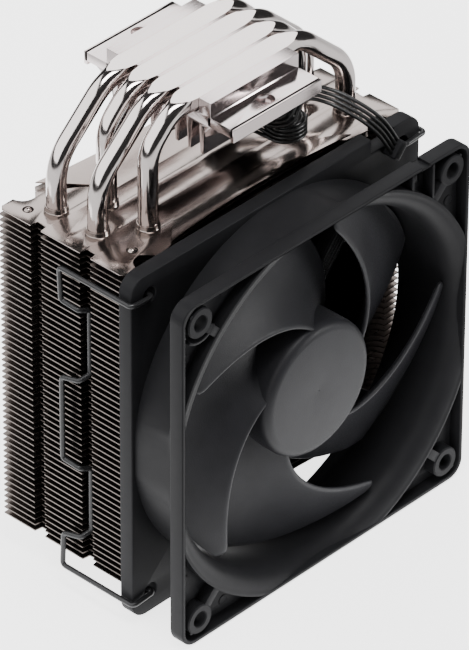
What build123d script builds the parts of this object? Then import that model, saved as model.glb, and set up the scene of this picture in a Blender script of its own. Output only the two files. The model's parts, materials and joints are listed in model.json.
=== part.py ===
from build123d import *
import os
from math import cos, pi, radians, sin, sqrt, tan

# Tower cooler for a processor, standing with its contact face up.
# Origin: centre of the contact face.
# +Z out of that face, +X along the heat pipes, +Y from the fan to the fins.

# ---- driving dimensions, mm ----
fin_count = 54
fin_pitch = 2.05
fin_thickness = 0.4
fin_width = 116.0
fin_depth = 49.2
fin_top_z = -37.0
collar_wall = 0.55
fins_per_group = 13

pipe_d = 6.0
pipe_pitch = 8.2
pipe_flat_width = 7.0
pipe_flat_height = 5.3
pipe_flat_corner_r = 2.6
pipe_axis_z = -2.3
pipe_bend_x = 20.5
outer_leg_x = 47.0
inner_leg_x = 35.0
outer_bend_r = 16.0
inner_bend_r = 12.0
outer_slope = 42.0
inner_slope = 45.0
pipe_tail = 2.5
pipe_tip_r = 1.8
wick_d = 4.0
wick_setback = 3.0

block_length = 36.2
block_width = 41.0
base_width = 59.0
step_height = 4.9
wing_thickness = 3.0
lip_height = 1.2
lip_width = 1.3
wing_hole_d = 5.4
wing_hole_y = 24.8
tine_pitch = 4.9
tine_count = 8
tine_length = 10.5
tine_root_half = 1.1
tine_tip_half = 0.6
comb_web = 0.8
comb_edge = 3.4
brace_reach = 5.0
brace_foot = 2.0
brace_drop = 4.2

fan_size = 120.0
fan_depth = 25.0
fan_gap = 0.3
fan_axis_z = -96.0
hole_spacing = 105.0
hole_d = 5.0
boss_d = 9.7
flange_thickness = 5.0
flange_corner_r = 5.5
rim_wall = 1.3
bore_r = 57.3
duct_r = 59.2
mouth_r = 63.0
pocket_depth = 4.0
strut_angle = 49.0
strut_width = 7.0
motor_disc_r = 22.3
bearing_tube_r = 4.5
bearing_r = 3.5

hub_r = 22.0
hub_wall = 1.6
hub_front = -9.5
hub_rear = 5.5
blade_count = 5
blade_tip_r = 56.2
blade_thickness = 1.5
blade_first_angle = 94.0
blade_sweep = 64.0
blade_chord = 62.0
blade_front = -8.0
blade_rear = 6.2
shaft_d = 3.0
running_clearance = 0.04

wire_d = 1.6
lead_wire_d = 1.2
lead_wire_pitch = 1.33
lead_wire_count = 4
ribbon_slot = lead_wire_count * lead_wire_pitch + 0.4

fan_rear_y = -fin_depth / 2 - fan_gap
fan_mid_y = fan_rear_y - fan_depth / 2
fan_front_y = fan_rear_y - fan_depth
fin_bottom_z = fin_top_z - (fin_count - 1) * fin_pitch - fin_thickness
pipe_bottom_z = fin_bottom_z - pipe_tail
fan_axis = Axis((0, 0, fan_axis_z), (0, 1, 0))
pipe_ys = [(1.5 - n) * pipe_pitch for n in range(4)]

os.makedirs("parts", exist_ok=True)


def save(builder, name):
    """Label a finished piece and write it under its own name."""
    builder.part.label = name
    export_step(builder.part, f"parts/{name}.step")


def across(y):
    """Plane square to the fan's axis, y along that axis from the fan's middle, facing the intake side."""
    return Plane(origin=(0, fan_mid_y + y, fan_axis_z), x_dir=(1, 0, 0), z_dir=(0, -1, 0))


def along():
    """Plane through the fan's axis: local x runs along it from the fan's middle, local y is the radius."""
    return Plane(origin=(0, fan_mid_y, fan_axis_z), x_dir=(0, 1, 0), z_dir=(1, 0, 0))


def polar(radius, angle, y):
    """Point at a radius and an angle round the fan's axis, y along the axis from the fan's middle."""
    return Vector(radius * cos(radians(angle)), fan_mid_y + y, fan_axis_z + radius * sin(radians(angle)))


def corner_radii(points, share=0.45):
    """Largest smooth arc at each inner point of a route, from the shorter of its two runs."""
    radii = []
    for before, here, after in zip(points, points[1:], points[2:]):
        first = Vector(*here) - Vector(*before)
        second = Vector(*after) - Vector(*here)
        half_turn = radians(first.get_angle(second)) / 2
        radii.append(share * min(first.length, second.length) / tan(half_turn))
    return radii


# ---- heat pipes: one planar bend each, an outer leg on one side and an inner leg on the other ----
def pipe_route(outer_side):
    """Corner points and bend radii of a pipe, as (x, z) from the outer leg to the inner leg."""
    outer_top_x = pipe_bend_x + outer_bend_r * tan(radians(outer_slope) / 2)
    inner_top_x = pipe_bend_x + inner_bend_r * tan(radians(inner_slope) / 2)
    outer_elbow_z = pipe_axis_z - (outer_leg_x - outer_top_x) * tan(radians(outer_slope))
    inner_elbow_z = pipe_axis_z - (inner_leg_x - inner_top_x) * tan(radians(inner_slope))
    points = [
        (outer_leg_x, pipe_bottom_z),
        (outer_leg_x, outer_elbow_z),
        (outer_top_x, pipe_axis_z),
        (-inner_top_x, pipe_axis_z),
        (-inner_leg_x, inner_elbow_z),
        (-inner_leg_x, pipe_bottom_z),
    ]
    radii = [outer_bend_r, outer_bend_r, inner_bend_r, inner_bend_r]
    return [(outer_side * x, z) for x, z in points], radii


def pipe_leg_x(index):
    """The two leg positions of a pipe: outer leg first."""
    side = -1 if index % 2 == 0 else 1
    return side * outer_leg_x, -side * inner_leg_x


def swept_pipe(y, side, diameter, shorten):
    """Round bar along a pipe's centre line, each leg cut short by the given length."""
    points, radii = pipe_route(side)
    points[0] = (points[0][0], points[0][1] + shorten)
    points[-1] = (points[-1][0], points[-1][1] + shorten)
    with BuildPart(mode=Mode.PRIVATE) as bar:
        with BuildLine() as route:
            FilletPolyline(*[(x, y, z) for x, z in points], radius=radii)
        with BuildSketch(Plane(origin=route.line @ 0, z_dir=route.line % 0)):
            Circle(diameter / 2)
        sweep()
    return bar.part


def flat_profile(y):
    """Section of a pipe where it is pressed flat into the base: flat on top, rounded below."""
    with BuildSketch(Plane.YZ.offset(-block_length / 2)) as profile:
        with Locations((y, -pipe_flat_height / 2)):
            Rectangle(pipe_flat_width, pipe_flat_height)
        low = profile.vertices().group_by(Axis.Y)[0]
        fillet(low, pipe_flat_corner_r)
    return profile.sketch


pipe_flats = [flat_profile(y) for y in pipe_ys]

for n, y in enumerate(pipe_ys):
    side = -1 if n % 2 == 0 else 1
    with BuildPart() as wick:
        add(swept_pipe(y, side, wick_d, wick_setback))
    save(wick, f"heat_pipe_wick_{n + 1}")

    with BuildPart() as heat_pipe:
        add(swept_pipe(y, side, pipe_d, 0))
        tips = heat_pipe.edges().filter_by(GeomType.CIRCLE).group_by(Axis.Z)[0]
        fillet(tips, pipe_tip_r)
        extrude(pipe_flats[n], amount=block_length, dir=(1, 0, 0))
        with Locations((0, y, pipe_d / 2)):
            Box(4 * outer_leg_x, 2 * pipe_d, pipe_d, mode=Mode.SUBTRACT)
        add(wick.part, mode=Mode.SUBTRACT)
    save(heat_pipe, f"heat_pipe_{n + 1}")

# ---- base block: contact plateau with a wing on each side and a comb of tapered tines below ----
with BuildPart() as base_block:
    half_block = block_width / 2
    half_base = base_width / 2
    wing_low_z = -step_height - wing_thickness
    with BuildSketch(Plane.YZ.offset(-block_length / 2)) as base_profile:
        with BuildLine():
            Polyline(
                (0, 0),
                (half_block, 0),
                (half_block, -step_height),
                (half_base, -step_height),
                (half_base, wing_low_z - lip_height),
                (half_base - lip_width, wing_low_z - lip_height),
                (half_base - lip_width, wing_low_z),
                (half_base - brace_reach, wing_low_z),
                (half_block - brace_foot, wing_low_z - brace_drop),
                (half_block - comb_edge, wing_low_z - comb_web),
                (0, wing_low_z - comb_web),
                close=True,
            )
        make_face()
        mirror(about=Plane.YZ)
        for n in range(tine_count):
            tine_y = (n - (tine_count - 1) / 2) * tine_pitch
            with BuildLine():
                Polyline(
                    (tine_y - tine_root_half, wing_low_z),
                    (tine_y + tine_root_half, wing_low_z),
                    (tine_y + tine_tip_half, wing_low_z - tine_length),
                    (tine_y - tine_tip_half, wing_low_z - tine_length),
                    close=True,
                )
            make_face()
    extrude(amount=block_length)
    with Locations((0, wing_hole_y, -step_height), (0, -wing_hole_y, -step_height)):
        Hole(wing_hole_d / 2, depth=wing_thickness + 1.0)
    for pipe_flat in pipe_flats:
        extrude(pipe_flat, amount=block_length, dir=(1, 0, 0), mode=Mode.SUBTRACT)
save(base_block, "base_block")

# ---- fins: one outline for all, collars round the pipes keep the spacing ----
notch_y = 9.8
notch_width = 4.2
notch_depth = 2.6
notch_slant = 0.4
tab_x = 52.3
scallop_x = 47.0
scallop_depth = 3.8
scallop_mid_x = 50.3
scallop_mid_depth = 3.2
peak_x = 43.5
edge_sag = 3.0
edge_mid_x = 22.3
edge_mid_share = 0.78

with BuildSketch() as fin_outline:
    half_width = fin_width / 2
    half_depth = fin_depth / 2
    with BuildLine() as quarter:
        Polyline(
            (half_width, 0),
            (half_width, notch_y - notch_width / 2),
            (half_width - notch_depth, notch_y - notch_width / 2 + notch_slant),
            (half_width - notch_depth, notch_y + notch_width / 2 - notch_slant),
            (half_width, notch_y + notch_width / 2),
            (half_width, half_depth),
            (tab_x, half_depth),
        )
        ThreePointArc(
            (tab_x, half_depth),
            (scallop_mid_x, half_depth - scallop_mid_depth),
            (scallop_x, half_depth - scallop_depth),
        )
        Line((scallop_x, half_depth - scallop_depth), (peak_x, half_depth))
        ThreePointArc(
            (peak_x, half_depth),
            (edge_mid_x, half_depth - edge_mid_share * edge_sag),
            (0, half_depth - edge_sag),
        )
        Polyline((0, half_depth - edge_sag), (0, 0), (half_width, 0))
    make_face()
    mirror(about=Plane.YZ)
    mirror(about=Plane.XZ)
    with Locations(*[(x, pipe_ys[n]) for n in range(4) for x in pipe_leg_x(n)]):
        Circle(pipe_d / 2, mode=Mode.SUBTRACT)

with BuildSketch() as collar_rings:
    with Locations(*[(x, pipe_ys[n]) for n in range(4) for x in pipe_leg_x(n)]):
        Circle(pipe_d / 2 + collar_wall)
        Circle(pipe_d / 2, mode=Mode.SUBTRACT)

collar_height = fin_pitch - fin_thickness - 0.05
with BuildPart() as one_fin:
    extrude(fin_outline.sketch, amount=-fin_thickness)
    extrude(collar_rings.sketch, amount=collar_height)

fin_nodes = {"fin_top": range(0, 1)}
for g in range(4):
    first = 1 + g * fins_per_group
    fin_nodes[f"fin_group_{g + 1}"] = range(first, first + fins_per_group)
fin_nodes["fin_bottom"] = range(fin_count - 1, fin_count)
for name, members in fin_nodes.items():
    with BuildPart() as fins:
        with Locations(*[(0, 0, fin_top_z - m * fin_pitch) for m in members]):
            add(one_fin.part)
    save(fins, name)

# ---- fan frame: two square flanges joined by a duct, motor plate on four struts at the outlet ----
half_fan = fan_size / 2
half_depth_fan = fan_depth / 2
rear_flange_y = half_depth_fan - flange_thickness
strut_front = 8.3
motor_plate_y = 9.5
groove_depth = 2.1
lead_y = 8.35
guide_size = (6.2, 6.2, 3.4)
guide_radius = 72.1
guide_y = 6.0
groove_start = 19.0
groove_length = guide_radius - groove_start
notch_centre_x = 44.0
front_notch_shift = 3.0
front_notch_width = 2.4
rear_notch_width = 8.0
notch_height = 9.0
notch_corner_r = 0.8
strut_start = 21.0
strut_end = 59.0
tube_front = -4.0
flare_middle = (-9.5, 59.3)
flare_end = -5.0

guide_centre = polar(guide_radius, strut_angle, guide_y)
guide_plane = Plane(
    origin=guide_centre,
    x_dir=(cos(radians(strut_angle)), 0, sin(radians(strut_angle))),
    z_dir=(0, -1, 0),
)

with BuildPart() as lead_guide:
    with BuildSketch(guide_plane.offset(-guide_size[1] / 2)):
        RectangleRounded(guide_size[0], guide_size[2], 0.9)
    extrude(amount=guide_size[1])
save(lead_guide, "lead_guide")

with BuildPart() as fan_frame:
    for y in (-half_depth_fan, rear_flange_y):
        with BuildSketch(across(y)):
            RectangleRounded(fan_size, fan_size, flange_corner_r)
        extrude(amount=-flange_thickness)
    with BuildSketch(across(-half_depth_fan)):
        Circle(duct_r)
    extrude(amount=-fan_depth)

    # bore and flared mouth, the flare cut off square by the four rim walls
    with BuildSketch(across(-half_depth_fan)):
        Circle(bore_r)
    extrude(amount=-fan_depth, mode=Mode.SUBTRACT)
    with BuildPart(mode=Mode.PRIVATE) as flare:
        with BuildSketch(along()):
            with BuildLine():
                Line((-half_depth_fan, 0), (-half_depth_fan, mouth_r))
                ThreePointArc((-half_depth_fan, mouth_r), flare_middle, (flare_end, bore_r))
                Polyline((flare_end, bore_r), (flare_end, 0), (-half_depth_fan, 0))
            make_face()
        revolve(axis=fan_axis)
        with BuildSketch(across(-half_depth_fan)):
            Rectangle(fan_size - 2 * rim_wall, fan_size - 2 * rim_wall)
        extrude(amount=-fan_depth, mode=Mode.INTERSECT)
    add(flare.part, mode=Mode.SUBTRACT)

    # hollow corners of the intake flange
    with BuildSketch(across(-half_depth_fan)):
        RectangleRounded(fan_size - 2 * rim_wall, fan_size - 2 * rim_wall, flange_corner_r - rim_wall)
        Circle(mouth_r + rim_wall, mode=Mode.SUBTRACT)
        with GridLocations(hole_spacing, hole_spacing, 2, 2):
            Circle(boss_d / 2, mode=Mode.SUBTRACT)
        for angle in (45, 135):
            with Locations(Rotation(0, 0, angle)):
                Rectangle(2 * fan_size, rim_wall, mode=Mode.SUBTRACT)
    extrude(amount=-pocket_depth, mode=Mode.SUBTRACT)

    # motor plate, struts and bearing tube
    with BuildSketch(across(motor_plate_y)):
        Circle(motor_disc_r)
    extrude(amount=-(half_depth_fan - motor_plate_y))
    with BuildSketch(across(strut_front)):
        with PolarLocations(0, 4, start_angle=strut_angle):
            with Locations(((strut_start + strut_end) / 2, 0)):
                Rectangle(strut_end - strut_start, strut_width)
    extrude(amount=-(half_depth_fan - strut_front))
    with BuildSketch(across(tube_front)):
        Circle(bearing_tube_r)
    extrude(amount=-(motor_plate_y - tube_front))
    with BuildSketch(across(tube_front)):
        Circle(bearing_r)
    extrude(amount=-(half_depth_fan - tube_front), mode=Mode.SUBTRACT)

    # fixing holes through both flanges
    with BuildSketch(across(-half_depth_fan)):
        with GridLocations(hole_spacing, hole_spacing, 2, 2):
            Circle(hole_d / 2)
    extrude(amount=-fan_depth, mode=Mode.SUBTRACT)

    # channel for the lead along one strut and across the outlet flange, seat for its guide, cable notches
    with BuildSketch(across(rear_flange_y)):
        with PolarLocations(0, 1, start_angle=strut_angle):
            with Locations((groove_start + groove_length / 2, 0)):
                Rectangle(groove_length, ribbon_slot)
    extrude(amount=-groove_depth, mode=Mode.SUBTRACT)
    add(lead_guide.part, mode=Mode.SUBTRACT)
    front_notch = (-half_depth_fan, notch_centre_x - front_notch_shift, front_notch_width)
    rear_notch = (rear_flange_y, notch_centre_x, rear_notch_width)
    for y, x, width in (front_notch, rear_notch):
        with BuildSketch(across(y)):
            with Locations((x, half_fan)):
                RectangleRounded(width, notch_height, notch_corner_r)
        extrude(amount=-flange_thickness, mode=Mode.SUBTRACT)
save(fan_frame, "fan_frame")

# ---- impeller: cup-shaped hub with swept blades ----
def blade_point(u, s):
    """Point of a blade's middle surface: u from hub to tip, s from leading to trailing edge."""
    radius = (hub_r - 0.9) + u * (blade_tip_r - hub_r + 0.9)
    sweep_angle = blade_sweep * (1.43 * u - 0.43 * u * u)
    chord = blade_chord + 6.0 * u
    angle = blade_first_angle + sweep_angle - s * chord
    depth = blade_front + (blade_rear - blade_front) * (s + 0.16 * sin(pi * s))
    return polar(radius, angle, depth)


blade_steps = 8
blade_grid = [
    [blade_point(i / blade_steps, j / blade_steps) for j in range(blade_steps + 1)]
    for i in range(blade_steps + 1)
]
blade_face = Face.make_surface_from_array_of_points(blade_grid)
with BuildPart() as blade:
    thicken(blade_face, amount=blade_thickness / 2, both=True)

boss_r = 4.0
boss_depth = 4.0
hub_face = 1.5
hub_edge_r = 3.0
shaft_r = shaft_d / 2
with BuildPart() as impeller:
    with BuildSketch(along()):
        with BuildLine():
            Polyline((hub_front, 0), (hub_front, hub_r - hub_edge_r))
            RadiusArc((hub_front, hub_r - hub_edge_r), (hub_front + hub_edge_r, hub_r), hub_edge_r)
            Polyline(
                (hub_front + hub_edge_r, hub_r),
                (hub_rear, hub_r),
                (hub_rear, hub_r - hub_wall),
                (hub_front + hub_face, hub_r - hub_wall),
                (hub_front + hub_face, boss_r),
                (hub_front + boss_depth, boss_r),
                (hub_front + boss_depth, shaft_r),
                (hub_front + 1.0, shaft_r),
                (hub_front + 1.0, 0),
                (hub_front, 0),
            )
        make_face()
    revolve(axis=fan_axis)
    for k in range(blade_count):
        add(blade.part.rotate(fan_axis, -k * 360 / blade_count))
save(impeller, "impeller")

# ---- rotor: steel yoke, magnet ring and shaft inside the hub ----
yoke_r = hub_r - hub_wall
yoke_wall = 0.8
yoke_front = hub_front + hub_face
yoke_rear = 5.0
with BuildPart() as rotor_yoke:
    with BuildSketch(along()):
        with BuildLine():
            Polyline(
                (yoke_front, boss_r + 0.2),
                (yoke_front, yoke_r),
                (yoke_rear, yoke_r),
                (yoke_rear, yoke_r - yoke_wall),
                (yoke_front + yoke_wall, yoke_r - yoke_wall),
                (yoke_front + yoke_wall, boss_r + 0.2),
                close=True,
            )
        make_face()
    revolve(axis=fan_axis)
save(rotor_yoke, "rotor_yoke")

magnet_r = yoke_r - yoke_wall
with BuildPart() as rotor_magnet:
    with BuildSketch(across(-5.0)):
        Circle(magnet_r)
        Circle(magnet_r - 2.0, mode=Mode.SUBTRACT)
    extrude(amount=-10.0)
save(rotor_magnet, "rotor_magnet")

shaft_end = 9.3
groove_y = 8.0
groove_r = 1.1
with BuildPart() as rotor_shaft:
    with BuildSketch(along()):
        with BuildLine():
            Polyline(
                (hub_front + 1.0, 0),
                (hub_front + 1.0, shaft_r),
                (groove_y, shaft_r),
                (groove_y, groove_r),
                (groove_y + 0.5, groove_r),
                (groove_y + 0.5, shaft_r),
                (shaft_end - 0.5, shaft_r),
                (shaft_end, shaft_r - 0.5),
                (shaft_end, 0),
                close=True,
            )
        make_face()
    revolve(axis=fan_axis)
save(rotor_shaft, "rotor_shaft")

with BuildPart() as retaining_ring:
    with BuildSketch(across(groove_y + 0.05)):
        Circle(2.6)
        Circle(groove_r, mode=Mode.SUBTRACT)
        with Locations((2.0, 0)):
            Rectangle(2.4, 1.2, mode=Mode.SUBTRACT)
    extrude(amount=-0.4)
save(retaining_ring, "retaining_ring")

# ---- bearing and motor inside the frame ----
sleeve_length = 11.5
with BuildPart() as bearing_sleeve:
    with BuildSketch(across(tube_front)):
        Circle(bearing_r)
        Circle(shaft_r + running_clearance, mode=Mode.SUBTRACT)
    extrude(amount=-sleeve_length)
save(bearing_sleeve, "bearing_sleeve")

with BuildPart() as thrust_pad:
    with BuildSketch(across(shaft_end + 0.1)):
        Circle(bearing_r)
    extrude(amount=-0.9)
save(thrust_pad, "thrust_pad")

with BuildPart() as bearing_cap:
    with BuildSketch(across(shaft_end + 1.2)):
        Circle(bearing_r)
    extrude(amount=-(half_depth_fan - shaft_end - 1.5))
save(bearing_cap, "bearing_cap")

stator_mid = 0.5
core_height = 5.0
insulator_thickness = 1.0
stator_r = magnet_r - 2.7
neck_width = 4.0
pole_tip = 2.6
pole_gap = 3.0
stator_hub_r = 7.5
stator_bore_gap = 0.02


def stator_profile():
    """Four-pole stator outline."""
    with BuildSketch(mode=Mode.PRIVATE) as profile:
        Circle(stator_r)
        Circle(stator_r - pole_tip, mode=Mode.SUBTRACT)
        with PolarLocations(0, 4, start_angle=45):
            with Locations((stator_r, 0)):
                Rectangle(8.0, pole_gap, mode=Mode.SUBTRACT)
        Circle(stator_hub_r)
        with PolarLocations(0, 2, angular_range=180):
            Rectangle(2 * stator_r - pole_tip, neck_width)
        Circle(bearing_tube_r + stator_bore_gap, mode=Mode.SUBTRACT)
    return profile.sketch


def placed(sketch, y):
    """A flat sketch moved to the plane across the fan's axis at y."""
    return across(y) * sketch


with BuildPart() as stator_core:
    extrude(placed(stator_profile(), stator_mid - core_height / 2), amount=-core_height)
save(stator_core, "stator_core")

with BuildPart() as stator_insulators:
    for y in (stator_mid - core_height / 2 - insulator_thickness, stator_mid + core_height / 2):
        extrude(placed(stator_profile(), y), amount=-insulator_thickness)
save(stator_insulators, "stator_insulators")

coil_inner = core_height + 2 * insulator_thickness + 0.1
coil_outer = coil_inner + 3.0
with BuildPart() as stator_windings:
    for k in range(4):
        angle = 90 * k
        winding_plane = Plane(
            origin=polar(8.2, angle, stator_mid),
            x_dir=(-sin(radians(angle)), 0, cos(radians(angle))),
            z_dir=(cos(radians(angle)), 0, sin(radians(angle))),
        )
        with BuildSketch(winding_plane):
            RectangleRounded(neck_width + 3.8, coil_outer, 1.4)
            Rectangle(neck_width + 0.1, coil_inner, mode=Mode.SUBTRACT)
        extrude(amount=5.4)
save(stator_windings, "stator_windings")

pcb_front = 7.2
pcb_r = 16.0
with BuildPart() as motor_pcb:
    with BuildSketch(across(pcb_front)):
        Circle(pcb_r)
        Circle(bearing_tube_r + 0.1, mode=Mode.SUBTRACT)
    extrude(amount=-1.0)
    with BuildSketch(across(pcb_front)):
        with PolarLocations(0, 1, start_angle=strut_angle):
            with Locations((pcb_r, 0)):
                Rectangle(5.0, ribbon_slot)
    extrude(amount=-1.0, mode=Mode.SUBTRACT)
save(motor_pcb, "motor_pcb")

with BuildPart() as motor_chips:
    with BuildSketch(across(pcb_front - 0.9)):
        with Locations((-10, 5)):
            Rectangle(3.8, 3.0)
        with Locations((-9, -7), (-5.5, -9.5), (6, -9)):
            Rectangle(2.0, 1.2)
        with Locations((2, -11.5)):
            Rectangle(2.9, 1.6)
    extrude(amount=-0.9)
save(motor_chips, "motor_chips")

# ---- fan lead: four wires side by side, held along a strut, then free up to a small coil ----
lead_inner_start = 14.0
lead_inner_end = guide_radius - guide_size[0] / 2
with BuildPart() as lead_inner_wires:
    for k in range(lead_wire_count):
        shift = (k - (lead_wire_count - 1) / 2) * lead_wire_pitch
        start = polar(lead_inner_start, strut_angle, lead_y)
        start += Vector(-sin(radians(strut_angle)), 0, cos(radians(strut_angle))) * shift
        wire_plane = Plane(
            origin=start,
            z_dir=(cos(radians(strut_angle)), 0, sin(radians(strut_angle))),
        )
        with BuildSketch(wire_plane):
            Circle(lead_wire_d / 2)
        extrude(amount=lead_inner_end - lead_inner_start)
save(lead_inner_wires, "lead_inner_wires")

# free stretch, as (x, y, z) of the ribbon's middle, and the way its width points there
lead_route = [
    (46.9, -32.4, -41.2),
    (43.6, -31.6, -34.4),
    (39.0, -30.2, -28.2),
    (33.2, -28.4, -22.3),
    (26.8, -26.0, -16.6),
    (21.2, -22.3, -13.6),
    (15.2, -22.1, -13.6),
    (13.2, -21.4, -19.7),
    (12.3, -17.4, -21.8),
]
lead_width = [
    (0.64, 0.12, 0.76),
    (0.68, 0.05, 0.73),
    (0.75, -0.11, 0.65),
    (0.74, -0.09, 0.67),
    (0.50, -0.05, 0.86),
    (0.20, 0.0, 0.98),
    (0.10, 0.0, 0.99),
    (0.0, 0.0, 1.0),
    (0.0, 0.0, 1.0),
]


def squared(width, before, here, after):
    """Width direction square to the ribbon's run, long enough to keep the wires apart on both sides."""
    before, here, after, width = Vector(*before), Vector(*here), Vector(*after), Vector(*width)
    run = (after - before).normalized()
    width = (width - run * width.dot(run)).normalized()
    spread = 1.0
    for stretch in (here - before, after - here):
        if stretch.length > 0:
            along = width.dot(stretch.normalized())
            spread = max(spread, 1 / sqrt(1 - along * along))
    return width * spread


befores = lead_route[:1] + lead_route[:-1]
afters = lead_route[1:] + lead_route[-1:]
widths = [squared(*each) for each in zip(lead_width, befores, lead_route, afters)]
for k in range(lead_wire_count):
    shift = (k - (lead_wire_count - 1) / 2) * lead_wire_pitch
    points = [tuple(Vector(*p) + w * shift) for p, w in zip(lead_route, widths)]
    radii = corner_radii(points)
    with BuildPart() as lead_wire:
        with BuildLine() as route:
            FilletPolyline(*points, radius=radii)
        with BuildSketch(Plane(origin=route.line @ 0, z_dir=route.line % 0)):
            Circle(lead_wire_d / 2)
        sweep()
    save(lead_wire, f"lead_wire_{k + 1}")
    run_length = sum(edge.length for edge in route.edges())
    volume_ratio = lead_wire.part.volume / (run_length * pi * (lead_wire_d / 2) ** 2)
    print(f"lead_wire_{k + 1}", "radii", [round(r, 1) for r in radii])
    print("  length", round(run_length, 1), "volume over section times length", round(volume_ratio, 3))

coil_low_centre = (20.5, -13.5, -31.8)
coil_low_r = 7.2
coil_low_height = 6.4
coil_high_centre = (16.9, -15.1, -25.4)
coil_high_r = 5.9
coil_high_height = 6.3
with BuildPart() as lead_coil:
    with Locations(coil_low_centre):
        Cylinder(coil_low_r, coil_low_height, align=(Align.CENTER, Align.CENTER, Align.MIN))
    with Locations(coil_high_centre):
        Cylinder(coil_high_r, coil_high_height, align=(Align.CENTER, Align.CENTER, Align.MIN))
    coil_rims = lead_coil.edges().filter_by(GeomType.CIRCLE).group_by(Axis.Z)
    fillet(coil_rims[0] + coil_rims[-1], 0.6)
save(lead_coil, "lead_coil")

# ---- four-way connector at the lead's end, lying behind the coil ----
contact_pitch = 2.54
housing_width = lead_wire_count * contact_pitch + 0.4
housing_height = 5.8
housing_length = 14.0
housing_start = (14.0, -7.3, -28.2)
cavity_side = 2.0
contact_side = 1.8
contact_length = 9.5
contact_setback = 0.8
rib_width = 1.0
rib_height = 0.7
housing_plane = Plane(origin=housing_start, x_dir=(1, 0, 0), z_dir=(0, 1, 0))
mating_plane = housing_plane.offset(housing_length)
with BuildPart() as connector_housing:
    with BuildSketch(housing_plane):
        RectangleRounded(housing_width, housing_height, 0.4)
        with Locations((-contact_pitch, housing_height / 2), (contact_pitch, housing_height / 2)):
            Rectangle(rib_width, 2 * rib_height)
    extrude(amount=housing_length)
    with BuildSketch(mating_plane):
        with GridLocations(contact_pitch, 0, lead_wire_count, 1):
            Rectangle(cavity_side, cavity_side)
    extrude(amount=-(contact_length + contact_setback), mode=Mode.SUBTRACT)
save(connector_housing, "connector_housing")

with BuildPart() as connector_terminals:
    with BuildSketch(mating_plane.offset(-contact_setback)):
        with GridLocations(contact_pitch, 0, lead_wire_count, 1):
            Rectangle(contact_side, contact_side)
    extrude(amount=-contact_length)
    with BuildSketch(mating_plane.offset(-contact_setback)):
        with GridLocations(contact_pitch, 0, lead_wire_count, 1):
            Rectangle(contact_side / 2, contact_side / 2)
    extrude(amount=-contact_length / 2, mode=Mode.SUBTRACT)
save(connector_terminals, "connector_terminals")

# ---- spring wire clips: hooked into the outlet flange, seated in a side notch of the fins ----
clip_side_x = 61.0
clip_notch_x = 56.35
clip_arm_y = fan_mid_y + 6.4
clip_hook_y = fan_mid_y + 10.5
clip_back_y = -fin_depth / 2 + 22.2
clip_reach_z = 53.0
clip_bend_r = 1.3


def clip_points(side):
    """A clip's bend points from its upper hook to its lower one."""
    arm_x = clip_side_x - 0.4
    arm_y = clip_back_y - 0.2
    beside_x = clip_side_x - 1.2
    beside_y = -notch_y + 1.0
    hook = hole_spacing / 2
    upper = [
        (hook, clip_hook_y, hook),
        (hook, clip_arm_y, hook),
        (clip_side_x, clip_arm_y, clip_reach_z),
        (clip_side_x, clip_back_y, clip_reach_z),
        (arm_x, arm_y, 41.6),
        (beside_x, beside_y, 40.4),
        (clip_notch_x, -notch_y, 39.2),
        (clip_notch_x, -notch_y, 16.8),
        (beside_x, beside_y, 15.6),
        (arm_x, arm_y, 14.4),
    ]
    lower = [(x, y, -z) for x, y, z in reversed(upper)]
    return [(side * x, y, fan_axis_z + z) for x, y, z in upper + lower]


for side, name in ((-1, "clip_left"), (1, "clip_right")):
    points = clip_points(side)
    with BuildPart() as clip:
        with BuildLine() as route:
            FilletPolyline(*points, radius=clip_bend_r)
        with BuildSketch(Plane(origin=route.line @ 0, z_dir=route.line % 0)):
            Circle(wire_d / 2)
        sweep()
    save(clip, name)
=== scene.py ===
import json
from math import atan2, cos, pi, radians, sin, sqrt, tan

import bmesh
import bpy
from mathutils import Matrix, Vector


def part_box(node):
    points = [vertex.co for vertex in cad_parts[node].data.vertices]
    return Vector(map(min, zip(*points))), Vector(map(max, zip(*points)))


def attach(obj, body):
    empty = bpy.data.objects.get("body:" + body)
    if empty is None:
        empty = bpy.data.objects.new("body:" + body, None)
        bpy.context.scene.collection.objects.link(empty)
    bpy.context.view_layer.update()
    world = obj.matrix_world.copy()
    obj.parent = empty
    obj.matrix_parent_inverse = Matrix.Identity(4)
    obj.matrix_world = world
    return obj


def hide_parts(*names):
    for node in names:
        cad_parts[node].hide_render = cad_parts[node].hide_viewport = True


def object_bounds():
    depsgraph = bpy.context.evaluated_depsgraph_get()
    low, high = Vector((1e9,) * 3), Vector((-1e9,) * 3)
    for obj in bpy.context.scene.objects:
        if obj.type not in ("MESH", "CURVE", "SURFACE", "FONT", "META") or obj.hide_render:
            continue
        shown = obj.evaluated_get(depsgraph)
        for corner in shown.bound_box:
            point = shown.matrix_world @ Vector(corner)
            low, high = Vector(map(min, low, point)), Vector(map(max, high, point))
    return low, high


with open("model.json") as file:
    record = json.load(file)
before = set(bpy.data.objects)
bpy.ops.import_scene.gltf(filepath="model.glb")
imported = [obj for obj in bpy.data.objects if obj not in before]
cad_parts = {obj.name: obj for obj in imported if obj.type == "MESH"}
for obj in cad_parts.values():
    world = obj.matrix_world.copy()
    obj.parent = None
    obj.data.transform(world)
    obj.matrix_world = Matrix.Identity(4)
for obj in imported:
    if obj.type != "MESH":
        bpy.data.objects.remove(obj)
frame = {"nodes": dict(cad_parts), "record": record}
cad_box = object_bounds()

MM = 0.001
COOLER = "cooler"
ROTOR = "rotor"
nodes = frame["nodes"]


def box_mm(node):
    """Lowest and highest corner of a CAD node, in mm."""
    low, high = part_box(node)
    return low / MM, high / MM


frame_low, frame_high = box_mm("fan_frame")
base_high = box_mm("base_block")[1]
fin_high = box_mm("fin_bottom")[1]
top_fin_low = box_mm("fin_top")[0]
pipe_low = box_mm("heat_pipe_1")[0]
guide_low, guide_high = box_mm("lead_guide")
housing_low, housing_high = box_mm("connector_housing")

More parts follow.
